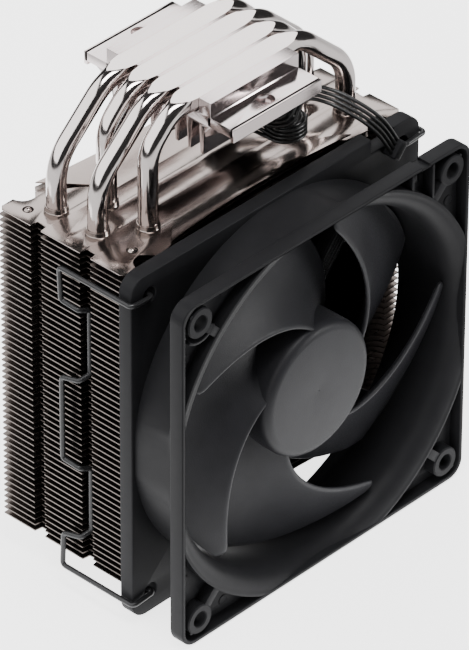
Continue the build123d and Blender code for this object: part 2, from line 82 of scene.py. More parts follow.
half_fan = (frame_high.x - frame_low.x) / 2
half_fan_depth = (frame_high.y - frame_low.y) / 2
fan_mid_y = (frame_high.y + frame_low.y) / 2
fan_axis_z = (frame_high.z + frame_low.z) / 2
half_block_length = base_high.x
half_fin_width = fin_high.x
half_fin_depth = fin_high.y
pipe_pitch = 8.2
pipe_ys = [(1.5 - n) * pipe_pitch for n in range(4)]
outer_leg_x = 47.0
inner_leg_x = 35.0

# ---- camera at the photograph's viewing angle ----
camera_at = Vector((-1205.4, -1153.7, 1102.8)) * MM
camera_yaw = 0.813
camera_pitch = 0.623
camera_roll = 0.005
camera_lens = 389.4

level_ahead = Vector((sin(camera_yaw), cos(camera_yaw), 0))
forward = level_ahead * cos(camera_pitch) - Vector((0, 0, sin(camera_pitch)))
level_right = Vector((cos(camera_yaw), -sin(camera_yaw), 0))
level_up = level_right.cross(forward)
right = level_right * cos(camera_roll) + level_up * sin(camera_roll)
up = right.cross(forward)
camera = bpy.data.objects.new("camera", bpy.data.cameras.new("camera"))
bpy.context.scene.collection.objects.link(camera)
camera.data.lens = camera_lens
camera.data.sensor_width = 36
camera.data.clip_start = 0.05
camera.data.clip_end = 50
turn = Matrix((right, up, -forward)).transposed()
camera.matrix_world = Matrix.Translation(camera_at) @ turn.to_4x4()
bpy.context.scene.camera = camera


# ---- materials ----
def node_material(
    name, color, metallic, roughness, grain, spread=0.08, tint=0.06, bump=0.0, stretch=(1, 1, 1), **extra
):
    """Procedural finish: noise at the grain's scale (per metre) varies colour, roughness and surface."""
    material = bpy.data.materials.new(name)
    material.use_nodes = True
    tree = material.node_tree
    shader = tree.nodes["Principled BSDF"]
    shader.inputs["Metallic"].default_value = metallic
    for socket, value in extra.items():
        shader.inputs[socket.replace("_", " ")].default_value = value
    place = tree.nodes.new("ShaderNodeTexCoord")
    mapping = tree.nodes.new("ShaderNodeMapping")
    mapping.inputs["Scale"].default_value = stretch
    tree.links.new(place.outputs["Object"], mapping.inputs["Vector"])

    def noise(scale, detail):
        texture = tree.nodes.new("ShaderNodeTexNoise")
        texture.inputs["Scale"].default_value = scale
        texture.inputs["Detail"].default_value = detail
        tree.links.new(mapping.outputs["Vector"], texture.inputs["Vector"])
        return texture.outputs["Fac"]

    broad = noise(grain / 14, 3)
    fine = noise(grain, 4)
    colors = tree.nodes.new("ShaderNodeValToRGB")
    dark = [c * (1 - tint) for c in color]
    light = [min(1.0, c * (1 + tint)) for c in color]
    colors.color_ramp.elements[0].position = 0.3
    colors.color_ramp.elements[0].color = (*dark, 1)
    colors.color_ramp.elements[1].position = 0.7
    colors.color_ramp.elements[1].color = (*light, 1)
    tree.links.new(broad, colors.inputs["Fac"])
    tree.links.new(colors.outputs["Color"], shader.inputs["Base Color"])
    span = tree.nodes.new("ShaderNodeMapRange")
    span.inputs["From Min"].default_value = 0.3
    span.inputs["From Max"].default_value = 0.7
    span.inputs["To Min"].default_value = max(0.02, roughness - spread)
    span.inputs["To Max"].default_value = roughness + spread
    tree.links.new(fine, span.inputs["Value"])
    tree.links.new(span.outputs["Result"], shader.inputs["Roughness"])
    if bump:
        relief = tree.nodes.new("ShaderNodeBump")
        relief.inputs["Strength"].default_value = bump
        relief.inputs["Distance"].default_value = 0.0002
        tree.links.new(fine, relief.inputs["Height"])
        tree.links.new(relief.outputs["Normal"], shader.inputs["Normal"])
    return material


FINISHES = {
    "pipe_plating": node_material("pipe_plating", (0.58, 0.53, 0.515), 1, 0.12, 900, 0.03, 0.03),
    "wick_copper": node_material("wick_copper", (0.60, 0.30, 0.18), 1, 0.6, 2500, 0.1, 0.1, 0.3),
    "base_metal": node_material(
        "base_metal", (0.56, 0.50, 0.495), 1, 0.16, 1500, 0.03, 0.03, 0.03, stretch=(0.08, 1, 1)
    ),
    "fin_metal": node_material("fin_metal", (0.10, 0.085, 0.078), 1, 0.32, 700, 0.06, 0.08, 0.03),
    "frame_plastic": node_material(
        "frame_plastic", (0.011, 0.011, 0.012), 0, 0.46, 3500, 0.06, 0.08, 0.10, Specular_IOR_Level=0.06
    ),
    "impeller_plastic": node_material(
        "impeller_plastic", (0.015, 0.015, 0.017), 0, 0.44, 2600, 0.08, 0.10, 0.22, Specular_IOR_Level=0.14
    ),
    "motor_steel": node_material("motor_steel", (0.40, 0.40, 0.41), 1, 0.35, 1200),
    "shaft_steel": node_material("shaft_steel", (0.60, 0.60, 0.61), 1, 0.2, 1500),
    "magnet_rubber": node_material("magnet_rubber", (0.05, 0.045, 0.04), 0, 0.7, 1500, 0.05, 0.1, 0.2),
    "bearing_bronze": node_material("bearing_bronze", (0.45, 0.30, 0.14), 1, 0.45, 2500, 0.08, 0.1, 0.1),
    "pad_plastic": node_material("pad_plastic", (0.75, 0.75, 0.72), 0, 0.5, 1500),
    "winding_copper": node_material("winding_copper", (0.50, 0.18, 0.07), 1, 0.3, 3000, 0.08, 0.15, 0.4),
    "insulator_plastic": node_material("insulator_plastic", (0.70, 0.70, 0.67), 0, 0.5, 1500),
    "board": node_material("board", (0.02, 0.10, 0.04), 0, 0.35, 1800),
    "chip_plastic": node_material("chip_plastic", (0.02, 0.02, 0.02), 0, 0.5, 2500),
    "wire_insulation": node_material(
        "wire_insulation", (0.008, 0.008, 0.008), 0, 0.30, 2500, 0.06, 0.08, 0.05, Specular_IOR_Level=0.4
    ),
    "connector_plastic": node_material(
        "connector_plastic", (0.012, 0.012, 0.012), 0, 0.42, 2600, 0.06, 0.08, 0.1, Specular_IOR_Level=0.3
    ),
    "terminal_metal": node_material("terminal_metal", (0.62, 0.60, 0.55), 1, 0.3, 1500),
    "clip_steel": node_material(
        "clip_steel", (0.016, 0.016, 0.017), 0.3, 0.34, 2500, 0.06, 0.08, 0.05, Specular_IOR_Level=0.4
    ),
}
plate_metal = node_material("plate_metal", (0.25, 0.215, 0.20), 1, 0.19, 110, 0.03, 0.08, 0.5, (1, 0.6, 1))
slot_of = {entry["node"]: entry["material_slot"] for entry in frame["record"]["subparts"]}
for node, piece in nodes.items():
    piece.data.materials.clear()
    piece.data.materials.append(FINISHES[slot_of[node]])


# ---- mesh helpers: every number is in mm, and a shape is scaled to metres when it is finished ----
def fan_point(x, y, z):
    """A point counted from the fan's middle, y along its axis towards the fins."""
    return Vector((x, fan_mid_y + y, fan_axis_z + z))


def circle(radius, count=96, centre=(0, 0), start=0.0, end=360.0):
    """Points round a circle, or along an arc of it, in a plane."""
    steps = count if end - start == 360 else count - 1
    turns = [radians(start + (end - start) * i / steps) for i in range(count)]
    return [(centre[0] + radius * cos(a), centre[1] + radius * sin(a)) for a in turns]


def rounded_square(half, radius, count=8):
    """Outline of a square with round corners, in a plane."""
    points = []
    for k, (sx, sy) in enumerate(((1, 1), (-1, 1), (-1, -1), (1, -1))):
        centre = (sx * (half - radius), sy * (half - radius))
        points += circle(radius, count, centre, 90 * k, 90 * k + 90)
    return points


def rounded_path(points, radius, count=6):
    """A route of straight runs with its corners turned into arcs."""
    points = [Vector(p) for p in points]
    path = [points[0]]
    for before, here, after in zip(points, points[1:], points[2:]):
        first = (before - here).normalized()
        second = (after - here).normalized()
        half = first.angle(second) / 2
        reach = radius / tan(half)
        centre = here + (first + second).normalized() * radius / sin(half)
        a = here + first * reach - centre
        b = here + second * reach - centre
        sweep = a.angle(b)
        for i in range(count + 1):
            t = i / count
            path.append(centre + (a * sin((1 - t) * sweep) + b * sin(t * sweep)) / sin(sweep))
    path.append(points[-1])
    return path


FACING_FAN = Matrix(((1, 0, 0, 0), (0, 0, -1, 0), (0, 1, 0, 0), (0, 0, 0, 1)))
FACING_X = Matrix(((0, 0, 1, 0), (1, 0, 0, 0), (0, 1, 0, 0), (0, 0, 0, 1)))
WELD_DISTANCE = 0.004
SLIVER_LENGTH = 0.0005
WIRE_TIP = ((0.0, 1.0), (0.15, 0.9), (0.35, 0.6))


class Shape:
    """A mesh put together from simple closed solids, in mm."""

    def __init__(self):
        self.bm = bmesh.new()

    def add(self, points, faces):
        made = [self.bm.verts.new(p) for p in points]
        for face in faces:
            self.bm.faces.new([made[i] for i in face])
        return made

    def slab(self, loops, thickness, bevel, matrix, segments=2):
        """A flat plate: the first loop is its outline and the others its holes, with rounded rims."""
        curve = bpy.data.curves.new("slab", "CURVE")
        curve.dimensions = "2D"
        curve.fill_mode = "BOTH"
        curve.extrude = thickness / 2 - bevel
        curve.bevel_depth = bevel
        curve.offset = -bevel
        curve.bevel_resolution = segments
        for loop in loops:
            spline = curve.splines.new("POLY")
            spline.points.add(len(loop) - 1)
            for point, (x, y) in zip(spline.points, loop):
                point.co = (x, y, 0, 1)
            spline.use_cyclic_u = True
        holder = bpy.data.objects.new("slab", curve)
        mesh = bpy.data.meshes.new_from_object(holder)
        mesh.transform(matrix)
        self.bm.from_mesh(mesh)
        bpy.data.meshes.remove(mesh)
        bpy.data.objects.remove(holder)
        bpy.data.curves.remove(curve)

    def rings(self, rings, closed_along=False):
        """A skin over a row of rings of points, capped at both ends unless it closes on itself."""
        count = len(rings[0])
        made = [[self.bm.verts.new(p) for p in ring] for ring in rings]
        spans = list(zip(made, made[1:])) + ([(made[-1], made[0])] if closed_along else [])
        for low, high in spans:
            for i in range(count):
                j = (i + 1) % count
                self.bm.faces.new((low[i], low[j], high[j], high[i]))
        if not closed_along:
            self.bm.faces.new(made[0][::-1])
            self.bm.faces.new(made[-1])

    def lathe(self, profile, count=128, centre=(0, 0), limit=None):
        """A solid of revolution about the fan's axis from a closed outline of (y, radius)."""
        rings = []
        for i in range(count):
            a = 2 * pi * i / count
            ring = []
            for y, radius in profile:
                x = radius * cos(a)
                z = radius * sin(a)
                if limit:
                    x = max(-limit, min(limit, x))
                    z = max(-limit, min(limit, z))
                ring.append(fan_point(centre[0] + x, y, centre[1] + z))
            rings.append(ring)
        self.rings(rings, closed_along=True)

    def tube(self, path, radius, count=14):
        """A round wire along a path, its ends rounded off."""
        path = [Vector(p) for p in path]
        side = None
        rings = []
        for i, here in enumerate(path):
            along = (path[min(i + 1, len(path) - 1)] - path[max(i - 1, 0)]).normalized()
            if side is None:
                side = along.orthogonal().normalized()
            side = (side - along * side.dot(along)).normalized()
            other = along.cross(side)
            ring = [(side * cos(2 * pi * k / count) + other * sin(2 * pi * k / count)) for k in range(count)]
            ends = WIRE_TIP[:1]
            if i == 0:
                ends = [(-ahead, size) for ahead, size in WIRE_TIP[::-1]]
            if i == len(path) - 1:
                ends = WIRE_TIP
            for ahead, size in ends:
                rings.append([here + along * ahead * radius + p * radius * size for p in ring])
        self.rings(rings)

    def block(self, centre, size, bevel, turn=None, segments=2):
        """A box with rounded edges, turned by a 3 by 3 matrix."""
        matrix = Matrix.Translation(centre)
        if turn is not None:
            matrix = matrix @ turn.to_4x4()
        part = bmesh.new()
        bmesh.ops.create_cube(part, size=1, matrix=Matrix.Diagonal((*size, 1)))
        bmesh.ops.bevel(
            part, geom=part.edges[:], offset=bevel, segments=segments, profile=0.5, affect="EDGES"
        )
        bmesh.ops.transform(part, matrix=matrix, verts=part.verts)
        mesh = bpy.data.meshes.new("block")
        part.to_mesh(mesh)
        part.free()
        self.bm.from_mesh(mesh)
        bpy.data.meshes.remove(mesh)

    def finish(self, name, body, slot, replaced=(), sharp=34, material=None):
        """Closes the mesh, scales it to metres and makes it a piece that rides on a body."""
        bmesh.ops.remove_doubles(self.bm, verts=self.bm.verts, dist=WELD_DISTANCE)
        bmesh.ops.dissolve_degenerate(self.bm, edges=self.bm.edges, dist=SLIVER_LENGTH)
        bmesh.ops.recalc_face_normals(self.bm, faces=self.bm.faces)
        for face in self.bm.faces:
            face.smooth = True
        for edge in self.bm.edges:
            if len(edge.link_faces) != 2 or edge.calc_face_angle(0) > radians(sharp):
                edge.smooth = False
        bmesh.ops.scale(self.bm, vec=(MM, MM, MM), verts=self.bm.verts)
        mesh = bpy.data.meshes.new(name)
        self.bm.to_mesh(mesh)
        self.bm.free()
        piece = bpy.data.objects.new(name, mesh)
        mesh.materials.append(material or FINISHES[slot])
        bpy.context.scene.collection.objects.link(piece)
        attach(piece, body)
        if replaced:
            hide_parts(*replaced)
        return piece


# ---- fan lead: four wires on one route, then wound into the two rings of a small coil ----
lead_route = [
    (46.9, -32.4, -41.2),
    (43.6, -31.6, -34.4),
    (39.0, -30.2, -28.2),
    (33.2, -28.4, -22.3),
    (26.8, -26.0, -16.6),
    (21.2, -22.3, -13.6),
    (15.2, -22.1, -13.6),
    (13.2, -21.4, -19.7),
    (12.3, -17.4, -21.8),
]
lead_width = [
    (0.64, 0.12, 0.76),
    (0.68, 0.05, 0.73),
    (0.75, -0.11, 0.65),
    (0.74, -0.09, 0.67),
    (0.50, -0.05, 0.86),
    (0.20, 0.0, 0.98),
    (0.10, 0.0, 0.99),
    (0.0, 0.0, 1.0),
    (0.0, 0.0, 1.0),
]
wire_count = 4
wire_d = 1.2
wire_pitch = 1.33
contact_pitch = 2.54
upper_ring = Vector((16.9, -15.1, -22.3))
lower_ring = Vector((20.5, -13.5, -27.9))
turn_points = 14
coil_start = -183.0
upper_turns, dropping_turns, lower_turns = 1.5, 0.95, 2.5
upper_r, middle_r, lower_r = 5.2, 3.35, 6.3
lower_sag = 1.1
ease = 0.25


def squared(width, before, here, after):
    """Width direction square to the ribbon's run, long enough to keep the wires apart on both sides."""
    before, here, after, width = Vector(before), Vector(here), Vector(after), Vector(width)
    run = (after - before).normalized()
    width = (width - run * width.dot(run)).normalized()
    spread = 1.0
    for stretch in (here - before, after - here):
        if stretch.length > 0:
            along = width.dot(stretch.normalized())
            spread = max(spread, 1 / sqrt(1 - along * along))
    return width * spread


def coil_points():
    """Points of the coil: wound inwards in the upper ring, down to the lower one and outwards again."""
    turns = upper_turns + dropping_turns + lower_turns
    count = round(turns * turn_points)
    points = []
    for i in range(count + 1):
        wound = i / turn_points
        a = radians(coil_start - 360 * wound)
        t = (wound - upper_turns + ease) / (dropping_turns + 2 * ease)
        t = min(1.0, max(0.0, t))
        centre = upper_ring.lerp(lower_ring, t * t * (3 - 2 * t))
        inwards = min(1.0, wound / upper_turns)
        outwards = max(0.0, (wound - upper_turns - dropping_turns) / lower_turns)
        r = upper_r + (middle_r - upper_r) * inwards + (lower_r - middle_r) * outwards
        points.append(centre + Vector((r * cos(a), r * sin(a), -lower_sag * outwards)))
    return points


befores = lead_route[:1] + lead_route[:-1]
afters = lead_route[1:] + lead_route[-1:]
widths = [squared(*each) for each in zip(lead_width, befores, lead_route, afters)]
connector_y = housing_low.y
connector_mid_x = (housing_low.x + housing_high.x) / 2
connector_z = -28.2
# a wire's last points: share of the way across, distance ahead of the connector, share of the height left
tail_steps = ((0.18, 5.2, 0.82), (0.53, 2.5, 0.39), (0.80, 0.7, 0.07), (1.0, -1.0, 0.0))
for k in range(wire_count):
    shift = (k - (wire_count - 1) / 2) * wire_pitch
    lift = Vector((0, 0, shift))
    route = [Vector(p) + w * shift for p, w in zip(lead_route, widths)]
    coil = [p + lift for p in coil_points()]
    last = coil[-1]
    contact_x = connector_mid_x + (k - (wire_count - 1) / 2) * contact_pitch
    tail = []
    for across_share, ahead, height_share in tail_steps:
        x = last.x + (contact_x - last.x) * across_share
        z = connector_z + (last.z - connector_z) * height_share
        tail.append(Vector((x, connector_y - ahead, z)))
    points = route + coil + tail
    curve = bpy.data.curves.new(f"wire_{k + 1}", "CURVE")
    curve.dimensions = "3D"
    curve.bevel_depth = wire_d / 2 * MM
    curve.bevel_resolution = 4
    curve.resolution_u = 8
    curve.use_fill_caps = True
    spline = curve.splines.new("NURBS")
    spline.points.add(len(points) - 1)
    for target, point in zip(spline.points, points):
        target.co = (*(point * MM), 1)
    spline.order_u = 3
    spline.use_endpoint_u = True
    wire = bpy.data.objects.new(f"wire_{k + 1}", curve)
    wire.data.materials.append(FINISHES["wire_insulation"])
    bpy.context.scene.collection.objects.link(wire)
    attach(wire, COOLER)
    hidden = [f"lead_wire_{k + 1}"] + (["lead_coil"] if k == 0 else [])
    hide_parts(*hidden)

# ---- heat pipes: round legs that grow flat and wide where they are pressed into the base ----
half_block = 20.5
pipe_r = 3.0
pipe_axis_z = -2.3
flat_half_width = 3.5
flat_low = -3.0
flat_corner_r = 2.6
flat_end_x = 26.2
ring_count = 72
corner_angle = 50.0
flat_sides = [360.0 * i / ring_count - 90 for i in range(ring_count)]
outer_bend = (outer_leg_x, 42.0, 16.0)
inner_bend = (inner_leg_x, 45.0, 12.0)
flat_steps = (18.4, 12, 0, -12, -18.4)
pipe_dome = [(0.0, 0.45), (0.25, 0.72), (0.8, 0.92), (1.9, 1.0)]


def flat_section(angle):
    """Point of the pressed section at the angle of a round one: flat on top, rounded below."""
    side = 1 if -90 <= angle < 90 else -1
    mirrored = angle if side > 0 else 180 - angle
    top = -pipe_axis_z
    if mirrored > corner_angle:
        share = (90 - mirrored) / (90 - corner_angle)
        return side * flat_half_width * share, top
    share = (mirrored + 90) / (corner_angle + 90)
    flat_run = flat_half_width - flat_corner_r
    arc_run = flat_corner_r * pi / 2
    wall_run = top - flat_low - flat_corner_r
    s = share * (flat_run + arc_run + wall_run)
    if s < flat_run:
        return side * s, flat_low
    if s < flat_run + arc_run:
        a = (s - flat_run) / flat_corner_r
        return side * (flat_run + flat_corner_r * sin(a)), flat_low + flat_corner_r * (1 - cos(a))
    return side * flat_half_width, flat_low + flat_corner_r + (s - flat_run - arc_run)


def pipe_stations(outer_side):
    """Stations down a pipe's middle line, close together where it bends and flattens."""
    paths = []
    for leg_x, slope, radius in (outer_bend, inner_bend):
        top_x = half_block + radius * tan(radians(slope) / 2)
        elbow_z = pipe_axis_z - (leg_x - top_x) * tan(radians(slope))
        leg = [(leg_x, 0, pipe_low.z), (leg_x, 0, elbow_z)]
        paths.append(rounded_path(leg + [(top_x, 0, pipe_axis_z), (0, 0, pipe_axis_z)], radius, 22))
    outer, inner = paths
    line = [Vector((outer_side * p.x, 0, p.z)) for p in outer[:-1]]
    line += [Vector((outer_side * x, 0, pipe_axis_z)) for x in flat_steps]
    line += [Vector((-outer_side * p.x, 0, p.z)) for p in inner[-2::-1]]
    return line


for n, pipe_y in enumerate(pipe_ys):
    side = -1 if n % 2 == 0 else 1
    line = pipe_stations(side)
    rings = []
    for i, here in enumerate(line):
        along = (line[min(i + 1, len(line) - 1)] - line[max(i - 1, 0)]).normalized()
        outward = Vector((0, 1, 0)).cross(along)
        if outward.z < 0 or (abs(outward.z) < 0.01 and outward.x * here.x < 0):
            outward = -outward
        reach = (abs(here.x) - half_block_length) / (flat_end_x - half_block_length)
        reach = min(1.0, max(0.0, reach))
        press = 1 - reach * reach * (3 - 2 * reach)
        ends = [(0.0, 1.0)]
        if i in (0, len(line) - 1):
            ends = pipe_dome if i == 0 else [(-a, r) for a, r in pipe_dome[::-1]]
        for ahead, size in ends:
            ring = []
            for angle in flat_sides:
                round_a = pipe_r * size * cos(radians(angle))
                round_b = pipe_r * size * sin(radians(angle))
                flat_a, flat_b = flat_section(angle)
                a = round_a + (flat_a - round_a) * press
                on_top = corner_angle < angle < 180 - corner_angle
                b = round_b if on_top else round_b + (flat_b - round_b) * press
                point = here + along * ahead + outward * b + Vector((0, pipe_y + a, 0))
                point.z = min(point.z, 0.0)
                ring.append(point)
            rings.append(ring)
    pipe = Shape()
    pipe.rings(rings)
    pipe.finish(f"pipe_{n + 1}", COOLER, "pipe_plating", [f"heat_pipe_{n + 1}"], sharp=28)

# ---- base block ----
base = Shape()
block_low = -8.7
seam = 0.05
foot_z, foot_fillet_z = -4.95, -4.58
bed_wall_z, bed_floor_z, bed_half_floor = -4.4, -5.4, 2.0
outline = [(half_block + 0.2, foot_z), (half_block, foot_fillet_z), (half_block, 0.0)]
for pipe_y in pipe_ys:
    high_side = pipe_y + flat_half_width + seam
    low_side = pipe_y - flat_half_width - seam
    outline += [(high_side, 0.0), (high_side, bed_wall_z)]
    outline += [(pipe_y + bed_half_floor, bed_floor_z), (pipe_y - bed_half_floor, bed_floor_z)]
    outline += [(low_side, bed_wall_z), (low_side, 0.0)]
outline += [(-half_block, 0.0), (-half_block, foot_fillet_z), (-half_block - 0.2, foot_z)]
underside = [(half_block, -7.9), (24.5, -7.9), (18.5, -12.1), (17.1, block_low)]
outline += [(-y, z) for y, z in underside]
tine_count = 8
tine_pitch = 4.9
tine_low = -18.4
for n in range(tine_count):
    y = (n - (tine_count - 1) / 2) * tine_pitch
    outline += [(y - 1.1, block_low), (y - 0.6, tine_low), (y + 0.6, tine_low), (y + 1.1, block_low)]
outline += underside[::-1]
base.slab([outline], 2 * half_block_length, 0.12, FACING_X, 1)
wing_hole_r = 2.7
wing_hole_y = 24.8
wing_mid_z = -6.4
bar_top, bar_low = -4.9, -9.1
for side in (-1, 1):
    inner = side * (half_block - 1.0)
    outer = side * (base_high.y - 0.4)
    wing = [(-half_block_length, inner), (half_block_length, inner)]
    wing += [(half_block_length, outer), (-half_block_length, outer)]
    if side < 0:
        wing.reverse()
    hole = circle(wing_hole_r, 48, (0, side * wing_hole_y))
    base.slab([wing, hole], 3.0, 0.06, Matrix.Translation((0, 0, wing_mid_z)), 2)
    low, high = side * (base_high.y - 1.3), side * base_high.y
    chamfer = 0.08 if side < 0 else 0.02
    bar = [(low, bar_top), (high - side * chamfer, bar_top), (high, bar_top - chamfer)]
    bar += [(high, bar_low), (low, bar_low)]
    if side < 0:
        bar.reverse()
    base.slab([bar], 2 * half_block_length, 0.04, FACING_X, 1)
base.finish("base", COOLER, "base_metal", ["base_block"], sharp=25)

# ---- top fin: a flat plate whose middle panel is bowed up at the front and rear edges ----
plate_top = top_fin_low.z + 0.4
sheet = 0.4
rise = 1.4
notch_y = 9.8
half_notch = 2.1
notch_depth = 2.6
tab_x = 52.3
scallop_x = 47.0
scallop_depth = 3.8
peak_x = 43.5
edge_sag = 3.0


def arc_through(a, b, c, count=12):
    """Points on the arc from a to c through b, in a plane."""
    ax, ay = a
    bx, by = b
    cx, cy = c
    d = 2 * (ax * (by - cy) + bx * (cy - ay) + cx * (ay - by))
    sa, sb, sc = ax * ax + ay * ay, bx * bx + by * by, cx * cx + cy * cy
    ux = (sa * (by - cy) + sb * (cy - ay) + sc * (ay - by)) / d
    uy = (sa * (cx - bx) + sb * (ax - cx) + sc * (bx - ax)) / d
    radius = sqrt((ax - ux) ** 2 + (ay - uy) ** 2)
    start, middle, end = (atan2(y - uy, x - ux) for x, y in (a, b, c))
    while middle - start > pi:
        middle -= 2 * pi
    while middle - start < -pi:
        middle += 2 * pi
    turn = 1 if middle > start else -1
    while (end - start) * turn < 0:
        end += 2 * pi * turn
    angles = [start + (end - start) * i / count for i in range(count + 1)]
    return [(ux + radius * cos(angle), uy + radius * sin(angle)) for angle in angles]


def edge_curve(count=12):
    """The sagging edge of a fin from its middle to its peak."""
    middle = (0, half_fin_depth - edge_sag)
    between = (22.3, half_fin_depth - 0.78 * edge_sag)
    return arc_through(middle, between, (peak_x, half_fin_depth), count)


def fin_quarter():
    """Outline of a fin in its first quarter, from the side's middle to the edge's middle."""
    points = [
        (half_fin_width, 0),
        (half_fin_width, notch_y - half_notch),
        (half_fin_width - notch_depth, notch_y - half_notch + 0.4),
        (half_fin_width - notch_depth, notch_y + half_notch - 0.4),
        (half_fin_width, notch_y + half_notch),
        (half_fin_width, half_fin_depth - 1.2),
        (half_fin_width - 1.2, half_fin_depth),
    ]
    low = (scallop_x, half_fin_depth - scallop_depth)
    points += arc_through((tab_x, half_fin_depth), (50.3, half_fin_depth - 3.2), low, 8)
    points += edge_curve()[::-1]
    return points


quarter = fin_quarter()
fin_loop = quarter + [(-x, y) for x, y in quarter[-2::-1]]
fin_loop += [(-x, -y) for x, y in quarter[1:]] + [(x, -y) for x, y in quarter[-2:0:-1]]
leg_spots = []
for n, y in enumerate(pipe_ys):
    side = -1 if n % 2 == 0 else 1
    leg_spots += [(side * outer_leg_x, y), (-side * inner_leg_x, y)]
top_fin = Shape()
holes = [circle(pipe_r + 0.02, 40, spot) for spot in leg_spots]
top_fin.slab([fin_loop] + holes, sheet, 0.08, Matrix.Translation((0, 0, plate_top - sheet / 2)), 1)
# collar round each pipe, as (radius, height) from its inner foot over the rim and down to the plate
collar_profile = [(3.02, 0.0), (3.02, 1.35), (3.12, 1.5), (3.35, 1.45)]
collar_profile += [(3.42, 1.25), (3.42, 0.25), (3.55, 0.04), (3.6, 0.0)]
collar_steps = 56
for x, y in leg_spots:
    rings = []
    for i in range(collar_steps):
        a = 2 * pi * i / collar_steps
        foot = Vector((x, y, plate_top - 0.02))
        rings.append([foot + Vector((r * cos(a), r * sin(a), h)) for r, h in collar_profile])
    top_fin.rings(rings, closed_along=True)
# round dimple with a raised middle, as (radius, height) from its rim to its middle
dimple_profile = [(1.9, 0.0), (1.75, 0.02), (1.45, -0.1), (1.25, 0.05)]
dimple_profile += [(0.95, 0.45), (0.5, 0.7), (0.02, 0.75)]
dimple_spots = ((53.0, 17.8), (46.9, -17.6))
for x, y in dimple_spots:
    for side in (-1, 1):
        rings = []
        for r, h in dimple_profile:
            rim = circle(r, 24, (side * x, y))
            rings.append([Vector((px, py, plate_top + h)) for px, py in rim])
        top_fin.rings(rings)
top_fin.finish("top_fin", COOLER, "fin_metal", ["fin_top"], sharp=40, material=plate_metal)

rows = 12
columns = 32
# a panel's name, the y of its fold, its half width at the edge and at the fold, and its side
PANELS = (("rear", 7.6, 43.3, 25.8, 1), ("front", -14.2, 37.2, 26.5, -1))
for name, fold_y, tip_x, fold_x, side in PANELS:
    panel = Shape()
    grid = []
    for j in range(rows + 1):
        t = j / rows
        row = []
        for i in range(columns + 1):
            u = 2 * i / columns - 1
            reach_x = fold_x + (tip_x - fold_x) * t
            x = u * reach_x
            share = min(1.0, abs(x) / peak_x)
            edge = half_fin_depth - edge_sag * (1 - share * share)
            y = fold_y + (side * edge - fold_y) * t
            row.append(Vector((x, y, plate_top + 0.02 + rise * t * t * (3 - 2 * t))))
        grid.append(row)
    points = [p for row in grid for p in row]
    points += [p - Vector((0, 0, sheet)) for p in points]
    across = columns + 1
    below = across * (rows + 1)
    faces = []
    for j in range(rows):
        for i in range(columns):
            a = j * across + i
            faces.append((a, a + 1, a + 1 + across, a + across))
            faces.append((a + below, a + below + across, a + below + across + 1, a + below + 1))
    for i in range(columns):
        for a in (i, rows * across + i):
            faces.append((a, a + 1, a + 1 + below, a + below))
    for j in range(rows):
        for i in (0, columns):
            a = j * across + i
            faces.append((a, a + across, a + across + below, a + below))
    panel.add(points, faces)
    panel.finish(f"{name}_panel", COOLER, "fin_metal", sharp=40, material=plate_metal)

# ---- fan frame ----
rim_wall = 1.3
bore_r = 57.3
duct_r = 59.2
mouth_r = 63.0
flange = 5.0
corner_r = 5.5
hole_at = 52.5
hole_r = 2.5
boss_r = 4.85
pocket_floor = 1.0
inner_half = half_fan - rim_wall
front_y = -half_fan_depth
rear_flange_y = half_fan_depth - flange
corners = [(sx * hole_at, sz * hole_at) for sx in (-1, 1) for sz in (-1, 1)]


def facing(y):
    """Places a flat outline across the fan's axis, centred at y along it."""
    return Matrix.Translation(fan_point(0, y, 0)) @ FACING_FAN


def notched(half, radius, notches):
    """Square outline with notches in its top edge, each given as (centre, half width, depth, lean)."""
    points = rounded_square(half, radius)
    top = 8
    cuts = []
    for middle, width, depth, lean in sorted(notches, reverse=True):
        cuts += [(middle + width, half), (middle + width - lean, half - depth)]
        cuts += [(middle - width - lean, half - depth), (middle - width, half)]
    return points[:top] + cuts + points[top:]


cable_notch_x = 40.8
cable_notch_half = 1.6
guide_notch = (44.0, 4.6, 4.6, 0.0)
frame_shape = Shape()
bore = circle(bore_r + 1.0, 128)
screw_holes = [circle(hole_r, 40, c) for c in corners]
floor_y = front_y + flange - pocket_floor / 2
floor_outline = notched(half_fan - 0.1, corner_r, [(cable_notch_x, cable_notch_half, 8.0, 0.0)])
frame_shape.slab([floor_outline, bore] + screw_holes, pocket_floor, 0.1, facing(floor_y), 1)
rim_inner = rounded_square(inner_half, corner_r - rim_wall)[::-1]
outer_rim = notched(half_fan, corner_r, [(cable_notch_x, cable_notch_half, 0.9, 0.0)])
frame_shape.slab([outer_rim, rim_inner], flange, 0.35, facing(front_y + flange / 2), 3)
rear_outline = notched(half_fan, corner_r, [guide_notch])
rear_plane = facing(rear_flange_y + flange / 2)
frame_shape.slab([rear_outline, circle(bore_r, 128)] + screw_holes, flange, 0.4, rear_plane, 3)

flare_y = -5.0
flare_run = 7.3
flare_steps = 10
duct = []
for i in range(flare_steps + 1):
    a = radians(90 * i / flare_steps)
    duct.append((flare_y - flare_run * sin(a), bore_r + (mouth_r - bore_r) * (1 - cos(a))))
duct += [(front_y + 0.05, mouth_r + 0.25), (front_y, mouth_r + 0.65), (front_y + 0.1, mouth_r + rim_wall)]
duct += [(front_y + flange, mouth_r + rim_wall), (front_y + flange + 1.0, duct_r + 1.2), (flare_y, duct_r)]
duct += [(rear_flange_y + 0.1, duct_r), (rear_flange_y + 0.2, bore_r), (0.0, bore_r)]
frame_shape.lathe(duct, 160, limit=inner_half + 0.15)

